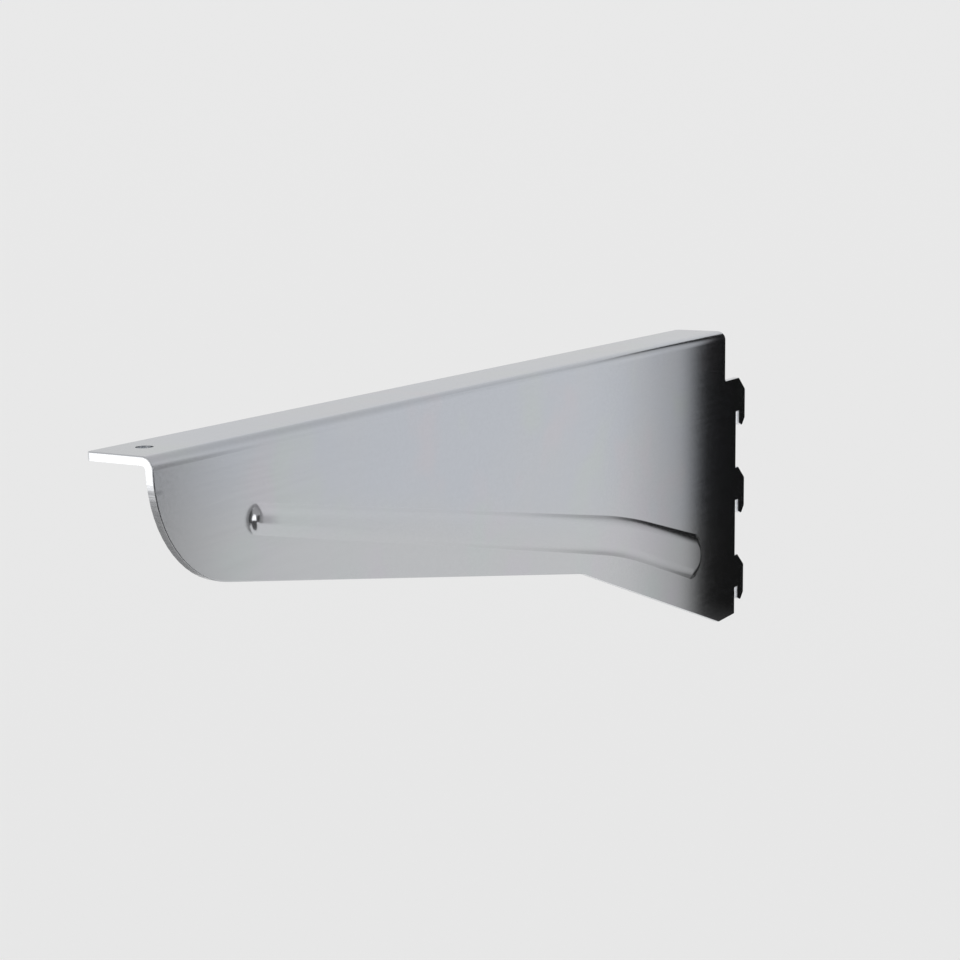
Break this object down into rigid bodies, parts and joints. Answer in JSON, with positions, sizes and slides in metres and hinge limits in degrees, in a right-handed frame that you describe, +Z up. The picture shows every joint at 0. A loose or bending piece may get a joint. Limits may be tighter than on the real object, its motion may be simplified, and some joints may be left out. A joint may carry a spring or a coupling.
{
  "type": "shelf bracket",
  "caption": "Folded sheet-steel shelf bracket: flanged top, tapered web with a pressed stiffening bead, and rear hooks that drop into a slotted wall upright.",
  "frame": {"origin": "middle of the sheet at the underside of the top hook's neck, where it sits on the lower end of its slot, in the plane of the upright's face", "axes": "+Y into the wall, so the bracket projects along -Y; +Z up; +X across, with the flange on the -X side of the web and the bead raised on the +X side"},
  "size_m": [0.0203, 0.32, 0.103],
  "materials": {
    "zinc_plate": "satin"
  },
  "bodies": {
    "root": {"bracket": "zinc_plate"}
  },
  "joints": []
}
